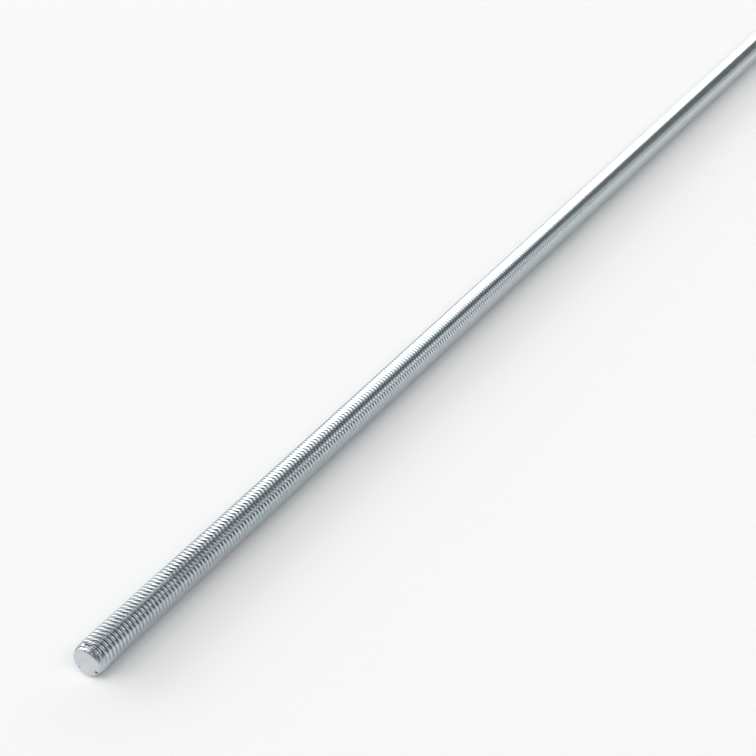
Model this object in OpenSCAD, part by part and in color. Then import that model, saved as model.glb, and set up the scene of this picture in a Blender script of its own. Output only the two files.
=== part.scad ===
// Fully threaded rod, M8 x 1.25, one metre long.
// The origin is the centre of the near end face, and the rod runs along +X.
// The solid is the rod's envelope over the crests of its thread, with the tapering,
// incomplete first turns that thread rolling leaves at both ends, and a broken rim.
// On one side the near rim is sheared off to a slanting flat.

/* [Rod] */
// Length over both end faces
rod_length = 1000; // [50:10:3000]

/* [Thread] */
// Major (nominal) diameter, over the crests
major_d = 8; // [5:0.5:24]
// Pitch of the thread
pitch = 1.25; // [0.7:0.05:3]

/* [Ends] */
// Incomplete turns of thread at each end
incomplete_turns = 2; // [1:0.1:4]
// How far the crests drop over the incomplete turns, measured on the radius
crest_drop = 0.47; // [0.1:0.01:0.8]
// Height of the bevel that breaks the rim of each end face
bevel_height = 0.08; // [0.02:0.01:0.3]
// Slope of that bevel, measured from the rod's axis
bevel_angle = 50; // [35:1:70]

/* [Sheared flat on the near rim] */
// Distance of the flat from the rod's axis, on the end face
flat_height = 2.5; // [1.5:0.1:4]
// Slope of the flat, measured from the rod's axis
flat_slope = 45; // [20:1:70]
// Side of the rim the flat is on, as an angle round the rod from +Y towards +Z
flat_side = 112; // [0:1:360]

/* [Hidden] */

// Facets in the preview of a round surface, and of the long arc that shapes an end
$fn = 96;
arc_fn = 720;

major_r = major_d / 2;

// The rim of an end: the face, then the bevel up to where the crests start to rise
rim_r = major_r - crest_drop;
face_r = rim_r - bevel_height;
bevel_l = bevel_height / tan(bevel_angle);

// From the rim the crests rise along an arc that is tangent to the full diameter
taper_l = pitch * incomplete_turns;
arc_run = taper_l - bevel_l;
arc_r = (arc_run * arc_run + crest_drop * crest_drop) / (2 * crest_drop);

// What the end leaves off a corner of the rod's outline, with radii along X and the end face on Y = 0
module end_corner() {
    difference() {
        translate([rim_r, -bevel_l])
            square([2 * crest_drop, taper_l + bevel_l]);
        translate([major_r - arc_r, taper_l])
            circle(r = arc_r, $fn = arc_fn);
    }
    polygon([
        [face_r - bevel_height, -bevel_l],
        [rim_r, bevel_l],
        [major_r, bevel_l],
        [major_r, -bevel_l]
    ]);
}

// Outline of the whole rod, from the near end face on Y = 0 to the far one
module rod_outline() {
    difference() {
        square([major_r, rod_length]);
        end_corner();
        translate([0, rod_length])
            mirror([0, 1])
                end_corner();
    }
}

// What the shear took off the near rim: everything above the flat's plane
module sheared_off() {
    rotate([flat_side, 0, 0])
        translate([0, flat_height, 0])
            rotate([0, 0, flat_slope])
                translate([-major_d, 0, -major_d])
                    cube([2 * major_d, major_d, 2 * major_d]);
}

module threaded_rod() {
    color([0.74, 0.77, 0.79])
        difference() {
            rotate([0, 90, 0])
                rotate_extrude()
                    rod_outline();
            sheared_off();
        }
}

threaded_rod();
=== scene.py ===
"""Looks of the threaded rod: its rolled thread, its bright zinc and the studio around it."""

import functools
import math

import bpy
import numpy as np
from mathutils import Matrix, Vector


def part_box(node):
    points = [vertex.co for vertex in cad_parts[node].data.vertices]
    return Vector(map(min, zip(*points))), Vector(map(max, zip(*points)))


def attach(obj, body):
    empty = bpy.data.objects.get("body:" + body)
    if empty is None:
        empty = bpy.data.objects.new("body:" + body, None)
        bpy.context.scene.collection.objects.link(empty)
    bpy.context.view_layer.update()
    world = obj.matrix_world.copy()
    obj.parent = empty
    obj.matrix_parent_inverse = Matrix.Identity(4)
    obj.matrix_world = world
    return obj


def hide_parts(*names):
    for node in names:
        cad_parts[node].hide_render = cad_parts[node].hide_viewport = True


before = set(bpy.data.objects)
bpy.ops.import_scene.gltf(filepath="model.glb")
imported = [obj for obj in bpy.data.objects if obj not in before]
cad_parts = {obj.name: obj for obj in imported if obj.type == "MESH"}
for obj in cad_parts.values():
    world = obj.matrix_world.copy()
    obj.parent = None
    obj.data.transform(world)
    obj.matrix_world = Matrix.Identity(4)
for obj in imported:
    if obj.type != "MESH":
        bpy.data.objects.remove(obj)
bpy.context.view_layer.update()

MM = 0.001
NODE = "threaded_rod"

# The rod, from its CAD envelope: its axis is the X axis, and the near end face is on x = 0
rod_lo, rod_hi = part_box(NODE)
LENGTH = rod_hi[0] - rod_lo[0]
MAJOR_R = (rod_hi[2] - rod_lo[2]) / 2
FLOOR_Z = rod_lo[2]

# The thread. Its profile is in shares of the pitch: the slope of the flanks, half the width of the
# crest, the rounding of the crest's edges, where the root's arc meets the flank, and that arc's
# radius. It is the ISO metric profile but for the crest, which is 1 / 16 there, with sharp edges.
PITCH = 1.25 * MM
FLANK_SLOPE = math.tan(math.radians(60))
CREST_HALF = 0.12
CREST_ROUND = 0.03
ROOT_TANGENT = 3 / 8
ROOT_R = 1 / (4 * math.sqrt(3))

# Incomplete thread at both ends, as in the CAD envelope
INCOMPLETE_TURNS = 2
TAPER_L = INCOMPLETE_TURNS * PITCH
CREST_DROP = 0.47 * MM
BEVEL_H = 0.08 * MM
BEVEL_ANGLE = math.radians(50)
BEVEL_L = BEVEL_H / math.tan(BEVEL_ANGLE)

# Angle round the rod at which the thread's crest meets the near end face
START_ANGLE = math.radians(118)

# The side of the near rim that is sheared off: its angle round the rod, half its width, how deep it
# goes into the end face and how far along the rod
SHEAR_ANGLE = math.radians(110)
SHEAR_HALF = math.radians(95)
SHEAR_DEPTH = 0.95 * MM
SHEAR_L = 1.1 * MM

# Nicks in the near rim, as the angle round the rod, half the width and the depth of each, and how
# far along the rod they go
NICKS = (
    (math.radians(-141), math.radians(9), 0.45 * MM),
    (math.radians(-43), math.radians(8), 0.25 * MM),
)
NICK_L = 0.6 * MM

# The mesh has straight columns of points along the rod, and every other one stops where the fine
# stretch of thread ends. Its helical lines get fewer with the turns from the near end, and there
# are as many at the far end as at the near one.
COLUMNS = 48
END_TURNS = 4
FINE_TURNS = 24
MEDIUM_TURNS = 340

# Stands in for no rounding of the crest's edges, where the mesh is too coarse to show it
SHARP = 1e-4

# How close to an end face a helical line is left out, and how close two keys count as the same
END_GAP = 0.001 * PITCH
SAME_KEY = 1e-6

# The side of its point that a corner's normal is taken on, or the end face that the corner is in
BEFORE, AFTER, NEAR_FACE, FAR_FACE = -1, 1, 0, 2


def thread_drop(turns, rounding):
    """How far the thread lies below its crests, at a place counted in turns of the thread."""
    off = np.abs((turns + 0.5) % 1 - 0.5)
    flank = (off - CREST_HALF) * FLANK_SLOPE
    into_edge = np.clip(off - CREST_HALF + rounding, 0, 2 * rounding)
    edge = into_edge ** 2 * FLANK_SLOPE / (4 * rounding)
    crest = np.where(off < CREST_HALF + rounding, edge, flank)
    root_centre = (ROOT_TANGENT - CREST_HALF) * FLANK_SLOPE - ROOT_R / 2
    root = root_centre + np.sqrt(np.maximum(ROOT_R ** 2 - (0.5 - off) ** 2, 0))
    return PITCH * np.where(off > ROOT_TANGENT, root, crest)


def envelope(x):
    """Radius of the CAD envelope at a distance x from an end face."""
    run = TAPER_L - BEVEL_L
    arc_r = (run ** 2 + CREST_DROP ** 2) / (2 * CREST_DROP)
    from_top = np.clip(TAPER_L - x, 0, TAPER_L)
    arc = MAJOR_R - arc_r + np.sqrt(arc_r ** 2 - from_top ** 2)
    bevel = MAJOR_R - CREST_DROP - BEVEL_H + np.maximum(x, 0) * BEVEL_H / BEVEL_L
    return np.minimum(arc, bevel)


def apart(angle, other):
    """How far two angles are apart."""
    return abs((angle - other + math.pi) % math.tau - math.pi)


def shear(x, angle):
    """How far the surface lies below the near rim where it is sheared off."""
    across = min(1, apart(angle, SHEAR_ANGLE) / SHEAR_HALF)
    side = (1 + math.cos(math.pi * across)) / 2
    return SHEAR_DEPTH * side * np.clip(1 - x / SHEAR_L, 0, 1) ** 2


def nick(x, angle):
    """Depth of the nicks in the near rim."""
    total = 0
    for place, half, depth in NICKS:
        total += depth * max(0, 1 - apart(angle, place) / half)
    return total * np.clip(1 - x / NICK_L, 0, 1)


def radius(x, angle):
    """Radius of the threaded surface at a place along the rod and an angle round it."""
    turns = x / PITCH - (angle - START_ANGLE) / math.tau
    fine = (x < FINE_TURNS * PITCH) | (x > LENGTH - END_TURNS * PITCH)
    thread = MAJOR_R - thread_drop(turns, np.where(fine, CREST_ROUND, SHARP))
    near = envelope(x) - shear(x, angle)
    far = envelope(LENGTH - x)
    return np.minimum(thread, np.minimum(near, far)) - nick(x, angle)


# The mesh's helical lines from the middle of a crest to the middle of the root, in shares of the pitch
ROOT_MIDDLE = 0.5
CREST_LINES = [CREST_HALF - CREST_ROUND, CREST_HALF, CREST_HALF + CREST_ROUND]
FLANK_LINES = [0.21, 0.29]
ROOT_LINES = [ROOT_TANGENT, 7 / 16, ROOT_MIDDLE]


def turn_lines(half):
    """The mesh's helical lines in a whole turn, from those in the half after a crest."""
    return sorted([1 - line for line in half if line < ROOT_MIDDLE] + half)


END_LINES = turn_lines(CREST_LINES + FLANK_LINES + ROOT_LINES)
FINE_LINES = turn_lines(CREST_LINES + ROOT_LINES)
MEDIUM_LINES = turn_lines([CREST_HALF, ROOT_TANGENT, ROOT_MIDDLE])
PLAIN_LINES = turn_lines([CREST_HALF, ROOT_TANGENT])

# Rows of the mesh that go straight round the rod at both ends: the rim, the bevel's edge, and shares
# of the length of the shear
SHEAR_ROWS = (0.08, 0.16, 0.25, 0.35, 0.5, 0.65, 0.8)
END_ROWS = np.array([0, BEVEL_L] + [share * SHEAR_L for share in SHEAR_ROWS])


def lines_in(turn, last_turn):
    """The mesh's helical lines in one turn of the thread, by how far along the rod it is."""
    if turn < END_TURNS or turn > last_turn - END_TURNS:
        return END_LINES
    if turn < FINE_TURNS:
        return FINE_LINES
    if turn < MEDIUM_TURNS:
        return MEDIUM_LINES
    return PLAIN_LINES


def helical_lines():
    """Every helical line of the mesh, as its offset from the near end in turns.

    The lines start before the rod does, because each runs forward by a turn as it goes round.
    """
    lead_in = 2
    last_turn = round(LENGTH / PITCH)
    offsets = []
    for turn in range(-lead_in, last_turn + 1):
        offsets += [turn + line for line in lines_in(turn, last_turn)]
    return np.array(offsets)


class Column:
    """A straight row of points along the rod, at one angle round it.

    A point's key is its place along the helix, which is the same on every column. The first point
    has the number first in the mesh.
    """

    def __init__(self, index, offsets, first):
        share = index / COLUMNS
        self.angle = START_ANGLE + math.tau * share
        self.first = first
        x = PITCH * (offsets + share)
        rows = END_ROWS
        if index % 2:
            used = (x > END_GAP) & (offsets <= FINE_TURNS)
        else:
            used = (x > END_GAP) & (x < LENGTH - END_GAP)
            rows = np.concatenate([rows, LENGTH - rows])
        x = np.concatenate([x[used], rows])
        key = np.concatenate([offsets[used], rows / PITCH - share])
        order = np.argsort(x)
        self.x = x[order]
        self.key = key[order]

    def points(self):
        """Where the column's points are."""
        r = radius(self.x, self.angle)
        return np.stack([self.x, r * math.cos(self.angle), r * math.sin(self.angle)], axis=1)

    def normals(self, side):
        """Surface normals just before or just after each point.

        They come from how the radius rises over a small step along the rod and a small turn round
        it. The turn follows the helix, so that it doesn't cross an edge of the thread.
        """
        step = side * 0.002 * PITCH
        turn = 0.02
        lead = PITCH / math.tau
        beside = self.x + step
        r = radius(self.x, self.angle)
        rise = (radius(beside + step, self.angle) - radius(beside, self.angle)) / step
        ahead = radius(beside + lead * turn, self.angle + turn)
        behind = radius(beside - lead * turn, self.angle - turn)
        round_rise = (ahead - behind) / (2 * turn) - lead * rise
        cos, sin = math.cos(self.angle), math.sin(self.angle)
        normal = np.stack([-r * rise, r * cos + round_rise * sin, r * sin - round_rise * cos], axis=1)
        return normal / np.linalg.norm(normal, axis=1)[:, None]


class Skin:
    """The faces between the columns, with which side of its point each corner is on."""

    def __init__(self):
        self.faces = []
        self.sides = []

    def add(self, corners, sides):
        """Adds a face."""
        self.faces.append(tuple(corners))
        self.sides.append(sides)

    def stitch(self, left, right, shift, start, stop):
        """Fills the strip between two columns up to a key, and returns where it stopped.

        The shift is how many turns the right column's keys are ahead. From the start, the strip
        goes on to the nearer of the next two points, or to both where their keys are the same.
        """
        at_left, at_right = start
        left_keys = [*left.key, math.inf]
        right_keys = [*(right.key - shift), math.inf]
        while min(left_keys[at_left + 1], right_keys[at_right + 1]) < stop:
            next_left = left_keys[at_left + 1]
            next_right = right_keys[at_right + 1]
            left_point = left.first + at_left
            right_point = right.first + at_right
            here = (left_point, right_point)
            if abs(next_left - next_right) < SAME_KEY:
                self.add((*here, right_point + 1, left_point + 1), (AFTER, AFTER, BEFORE, BEFORE))
                at_left += 1
                at_right += 1
            elif next_left < next_right:
                middle = (left_keys[at_left] + next_left) / 2
                side = AFTER if right_keys[at_right] < middle else BEFORE
                self.add((*here, left_point + 1), (AFTER, side, BEFORE))
                at_left += 1
            else:
                middle = (right_keys[at_right] + next_right) / 2
                side = AFTER if left_keys[at_left] < middle else BEFORE
                self.add((*here, right_point + 1), (side, AFTER, BEFORE))
                at_right += 1
        return at_left, at_right


def build_columns():
    """Every column of points, in order round the rod."""
    offsets = helical_lines()
    columns = []
    first = 0
    for index in range(COLUMNS):
        columns.append(Column(index, offsets, first))
        first += len(columns[-1].x)
    return columns


def build_skin(columns):
    """The faces of the whole threaded surface, and then of the near and the far end."""
    skin = Skin()
    start = (0, 0)
    fine_end = FINE_TURNS + SAME_KEY
    for index in range(0, COLUMNS, 2):
        left, middle = columns[index], columns[index + 1]
        right = columns[(index + 2) % COLUMNS]
        shift = 1 if index + 2 == COLUMNS else 0
        left_end, middle_end = skin.stitch(left, middle, 0, start, fine_end)
        middle_end, right_end = skin.stitch(middle, right, shift, start, fine_end)
        closing = (left.first + left_end, middle.first + middle_end, right.first + right_end)
        skin.add(closing, (BEFORE, BEFORE, BEFORE))
        skin.stitch(left, right, shift, (left_end, right_end), math.inf)
    near_rim = [column.first for column in reversed(columns)]
    far_rim = [column.first + len(column.x) - 1 for column in columns[::2]]
    skin.add(near_rim, (NEAR_FACE,) * len(near_rim))
    skin.add(far_rim, (FAR_FACE,) * len(far_rim))
    return skin


def corner_normals(columns, skin):
    """The normal of every corner of every face, so that the thread's edges stay crisp."""
    before = np.concatenate([column.normals(BEFORE) for column in columns])
    after = np.concatenate([column.normals(AFTER) for column in columns])
    corners = np.concatenate(skin.faces)
    sides = np.concatenate(skin.sides)
    normals = np.where((sides == AFTER)[:, None], after[corners], before[corners])
    normals[sides == NEAR_FACE] = (-1, 0, 0)
    normals[sides == FAR_FACE] = (1, 0, 0)
    return normals


def add_object(name, data):
    """A new object, in the scene."""
    thing = bpy.data.objects.new(name, data)
    bpy.context.scene.collection.objects.link(thing)
    return thing


def build_rod():
    """The threaded rod, plated with zinc but for the two end faces, which are the mesh's last."""
    columns = build_columns()
    skin = build_skin(columns)
    points = np.concatenate([column.points() for column in columns])
    mesh = bpy.data.meshes.new("rolled_thread")
    mesh.from_pydata(points.tolist(), [], skin.faces)
    mesh.update()
    mesh.polygons.foreach_set("use_smooth", [True] * len(mesh.polygons))
    mesh.normals_split_custom_set(corner_normals(columns, skin).tolist())
    mesh.materials.append(zinc_material())
    mesh.materials.append(cut_material())
    cut_slot = len(mesh.materials) - 1
    end_faces = mesh.polygons[-2:]
    for face in end_faces:
        face.material_index = cut_slot
    return add_object("rolled_thread", mesh)


class Graph:
    """A tree of shader nodes, with short calls for the nodes that are used here."""

    def __init__(self, tree):
        self.nodes = tree.nodes
        self.links = tree.links

    def feed(self, node, inputs):
        """Sets each of a node's inputs to a value, or links it to another node's output."""
        for key, value in inputs.items():
            if isinstance(value, bpy.types.NodeSocket):
                self.links.new(value, node.inputs[key])
            else:
                node.inputs[key].default_value = value

    def add(self, kind, inputs, **settings):
        """A new node with its settings and inputs."""
        node = self.nodes.new(kind)
        for name, value in settings.items():
            setattr(node, name, value)
        self.feed(node, inputs)
        return node

    def maths(self, operation, *values):
        """The result of a Math node."""
        return self.add("ShaderNodeMath", dict(enumerate(values)), operation=operation).outputs[0]

    def gather(self, operation, values):
        """One value out of many, by the same Math operation on one after another."""
        return functools.reduce(functools.partial(self.maths, operation), values)

    def place(self, space):
        """The place that is shaded, or in the world's Generated space the direction."""
        return self.add("ShaderNodeTexCoord", {}).outputs[space]

    def split(self, vector):
        """The X, Y and Z of a vector."""
        return self.add("ShaderNodeSeparateXYZ", {0: vector}).outputs

    def noise(self, size, detail=2):
        """Noise in the rod's own space, with blotches of about a size in metres."""
        inputs = {"Vector": self.place("Object"), "Scale": 1 / size, "Detail": detail}
        return self.add("ShaderNodeTexNoise", inputs).outputs["Fac"]

    def spread(self, value, source, target):
        """Maps a value from one range to another and clips it there."""
        inputs = {
            "Value": value,
            "From Min": source[0],
            "From Max": source[1],
            "To Min": target[0],
            "To Max": target[1],
        }
        return self.add("ShaderNodeMapRange", inputs).outputs[0]

    def blend(self, share, first, second):
        """Mixes two colours by a share."""
        inputs = {"Factor": share, "A": first, "B": second}
        return self.add("ShaderNodeMix", inputs, data_type="RGBA").outputs["Result"]

    def bump(self, height, distance):
        """Normals over a relief, whose height counts in a distance in metres."""
        return self.add("ShaderNodeBump", {"Height": height, "Distance": distance}).outputs[0]


def new_material(name):
    """A new material, with its graph and its shader."""
    material = bpy.data.materials.new(name)
    material.use_nodes = True
    tree = material.node_tree
    return material, Graph(tree), tree.nodes["Principled BSDF"]


# Target ranges that rise from none to all and fall from all to none
RISING = (0, 1)
FALLING = (1, 0)

# Below, a size is that of a noise's blotches, and a range is the stretch of the noise that leads from
# the one look to the other.

# The zinc plating: its colour, the hazier blotches on it, and its fine grain
ZINC = (0.535, 0.600, 0.635, 1)
ZINC_HAZE = (0.600, 0.640, 0.655, 1)
ZINC_ROUGHNESS = (0.06, 0.14)
ZINC_RELIEF = 0.01 * MM
HAZE_SIZE = 1.5 * MM
HAZE_RANGE = (0.35, 0.7)
GRAIN_SIZE = 0.35 * MM
GRAIN_DETAIL = 3

# The crushed side of the near rim: where it fades out along the rod and fades in upwards, its scuffs,
# and its dents, as a multiple of the plating's relief
CRUSHED = (0.340, 0.345, 0.380, 1)
CRUSHED_ALONG = (0.8 * MM, 2.4 * MM)
CRUSHED_UP = (0, 0.4 * MAJOR_R)
SCUFF_SIZE = 0.7 * MM
SCUFF_RANGE = (0.35, 0.6)
SCUFF_SHARES = (0.35, 1)
DENT_SIZE = 0.55 * MM
DENT_DEPTH = 9

# The cut end faces: faint blotches of two colours, and a dull grain
CUT_VIOLET = (0.590, 0.600, 0.660, 1)
CUT_GREEN = (0.620, 0.650, 0.655, 1)
CUT_BLOTCH_SIZE = 3.0 * MM
CUT_BLOTCH_RANGE = (0.4, 0.6)
CUT_ROUGHNESS = (0.25, 0.4)
CUT_DULL_SIZE = 0.8 * MM
CUT_DULL_RANGE = (0.3, 0.7)
CUT_RELIEF = 0.02 * MM
CUT_GRAIN_SIZE = 0.5 * MM

# Painted shade in the nicks, near black: its colour, and the radius of the spot in the deepest nick
NICK_SHADE = (0.045, 0.050, 0.055, 1)
NICK_SHADE_R = 0.42 * MM


def painted_nick_shade(graph):
    """1 in the nicks, where dark shade is painted on, and 0 elsewhere."""
    place = graph.place("Object")
    deepest = max(depth for _, _, depth in NICKS)
    spots = []
    for angle, _, depth in NICKS:
        r = float(radius(0, angle))
        middle = (0, r * math.cos(angle), r * math.sin(angle))
        away = graph.add("ShaderNodeVectorMath", {0: place, 1: middle}, operation="DISTANCE")
        edge = depth / deepest * NICK_SHADE_R
        spots.append(graph.spread(away.outputs["Value"], (edge / 2, edge), FALLING))
    return graph.gather("MAXIMUM", spots)


def crushed_rim(graph):
    """1 on the upper side of the near rim, where it is crushed, falling to 0 away from it."""
    place = graph.split(graph.place("Object"))
    along = graph.spread(place["X"], CRUSHED_ALONG, FALLING)
    upper = graph.spread(place["Z"], CRUSHED_UP, RISING)
    return graph.maths("MULTIPLY", along, upper)


def zinc_material():
    """Bright zinc plating with a faint cool tint, hazy in blotches and crushed at the near rim."""
    material, graph, shader = new_material("bright_zinc")
    haze = graph.spread(graph.noise(HAZE_SIZE), HAZE_RANGE, RISING)
    crushed = crushed_rim(graph)
    scuffs = graph.spread(graph.noise(SCUFF_SIZE), SCUFF_RANGE, SCUFF_SHARES)
    plating = graph.blend(haze, ZINC, ZINC_HAZE)
    plating = graph.blend(graph.maths("MULTIPLY", crushed, scuffs), plating, CRUSHED)
    dents = graph.spread(crushed, RISING, (0, DENT_DEPTH))
    grain = graph.noise(GRAIN_SIZE, GRAIN_DETAIL)
    relief = graph.maths("MULTIPLY_ADD", graph.noise(DENT_SIZE), dents, grain)
    graph.feed(shader, {
        # The nicks get painted shade, near black, over the plating
        "Base Color": graph.blend(painted_nick_shade(graph), plating, NICK_SHADE),
        "Metallic": 1,
        "Roughness": graph.spread(haze, RISING, ZINC_ROUGHNESS),
        "Normal": graph.bump(relief, ZINC_RELIEF),
    })
    return material


def cut_material():
    """The sheared end faces: duller, with faint violet and green blotches."""
    material, graph, shader = new_material("cut_end")
    blotches = graph.spread(graph.noise(CUT_BLOTCH_SIZE), CUT_BLOTCH_RANGE, RISING)
    steel = graph.blend(blotches, CUT_VIOLET, CUT_GREEN)
    grain = graph.noise(CUT_GRAIN_SIZE, GRAIN_DETAIL)
    graph.feed(shader, {
        # The nicks get painted shade, near black, over the cut steel
        "Base Color": graph.blend(painted_nick_shade(graph), steel, NICK_SHADE),
        "Metallic": 1,
        "Roughness": graph.spread(graph.noise(CUT_DULL_SIZE), CUT_DULL_RANGE, CUT_ROUGHNESS),
        "Normal": graph.bump(grain, CUT_RELIEF),
    })
    return material


# The floor: its colour, and half its side in metres
FLOOR_COLOUR = (0.91, 0.91, 0.91, 1)
FLOOR_HALF = 30


def floor_material():
    """A pale, matt floor."""
    material, graph, shader = new_material("pale_floor")
    graph.feed(shader, {"Base Color": FLOOR_COLOUR, "Roughness": 1})
    return material


def build_floor():
    """A large square floor under the rod."""
    signs = ((-1, -1), (1, -1), (1, 1), (-1, 1))
    corners = [(FLOOR_HALF * x, FLOOR_HALF * y, FLOOR_Z) for x, y in signs]
    mesh = bpy.data.meshes.new("floor")
    mesh.from_pydata(corners, [], [(0, 1, 2, 3)])
    mesh.materials.append(floor_material())
    floor = add_object("floor", mesh)


# The camera: its place, from the middle of the near end face, its heading from +X towards +Y, how far
# down it looks, its lens in mm, and what it can see, in metres
CAMERA_PLACE = Vector((-262.5, -217.1, 266.2)) * MM
CAMERA_HEADING = math.radians(29.09)
CAMERA_PITCH = math.radians(30.34)
CAMERA_LENS = 94.64
CAMERA_NEAREST = 0.01
CAMERA_FARTHEST = 100


def build_camera():
    """The scene's camera."""
    data = bpy.data.cameras.new("camera")
    data.lens = CAMERA_LENS
    data.clip_start = CAMERA_NEAREST
    data.clip_end = CAMERA_FARTHEST
    camera = add_object("camera", data)
    level = math.cos(CAMERA_PITCH)
    forward = level * math.cos(CAMERA_HEADING)
    left = level * math.sin(CAMERA_HEADING)
    down = math.sin(CAMERA_PITCH)
    camera.location = CAMERA_PLACE
    camera.rotation_euler = Vector((forward, left, -down)).to_track_quat("-Z", "Y").to_euler()
    bpy.context.scene.camera = camera


# The studio's soft lights. Each has its place as degrees left of the camera's heading and above the
# horizon, its half width and half height in degrees, and how bright it is. Those that are 400 degrees
# to either side go all the way round.
PANELS = {
    "backdrop": (-5, 8, 40, 16, 3.0),
    "left_box": (60, 20, 25, 10, 5.0),
    "left_back_box": (115, 35, 35, 20, 2.8),
    "left_wall": (95, 8, 25, 8, 0.4),
    "right_wall": (-70, 8, 25, 12, 0.6),
    "right_box": (-110, 40, 12, 12, 2.5),
    "right_fill": (-150, 50, 20, 15, 3.5),
    "camera_wall": (170, 2, 30, 12, 0.4),
    "overhead_box": (0, 90, 400, 15, 2.0),
    "room": (0, 90, 400, 200, 0.2),
}

# A panel's light fades out from this many degrees inside its edge to as many outside it, measured
# the narrow way
PANEL_SOFT = 5


def sky_angles(graph):
    """The azimuth and elevation of a direction, in degrees."""
    direction = graph.split(graph.place("Generated"))
    azimuth = graph.maths("DEGREES", graph.maths("ARCTAN2", direction["Y"], direction["X"]))
    elevation = graph.maths("DEGREES", graph.maths("ARCSINE", direction["Z"]))
    return azimuth, elevation


def panel_light(graph, azimuth, elevation, panel):
    """The light of an oval panel: its level inside it, falling softly to 0 round it."""
    turn, height, half_width, half_height, level = panel
    aside = graph.maths("SUBTRACT", azimuth, math.degrees(CAMERA_HEADING) + turn)
    aside = graph.maths("WRAP", aside, 180, -180)
    above = graph.maths("SUBTRACT", elevation, height)
    across = graph.maths("MULTIPLY", aside, 1 / half_width)
    up = graph.maths("MULTIPLY", above, 1 / half_height)
    place = graph.add("ShaderNodeCombineXYZ", {"X": across, "Y": up}).outputs[0]
    off = graph.add("ShaderNodeVectorMath", {0: place}, operation="LENGTH").outputs["Value"]
    soft = PANEL_SOFT / min(half_width, half_height)
    edge = {"Value": off, "From Min": 1 + soft, "From Max": 1 - soft}
    inside = graph.add("ShaderNodeMapRange", edge, interpolation_type="SMOOTHSTEP").outputs[0]
    return graph.maths("MULTIPLY", inside, level)


def build_world():
    """The studio, as a world that shines with the sum of its soft lights."""
    world = bpy.data.worlds.new("studio")
    bpy.context.scene.world = world
    world.use_nodes = True
    graph = Graph(world.node_tree)
    azimuth, elevation = sky_angles(graph)
    lights = [panel_light(graph, azimuth, elevation, panel) for panel in PANELS.values()]
    background = {"Color": (1, 1, 1, 1), "Strength": graph.gather("ADD", lights)}
    graph.feed(world.node_tree.nodes["Background"], background)


rod = build_rod()
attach(rod, "root")
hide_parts(NODE)
build_floor()
build_world()
build_camera()
bpy.context.scene.view_settings.view_transform = "Standard"
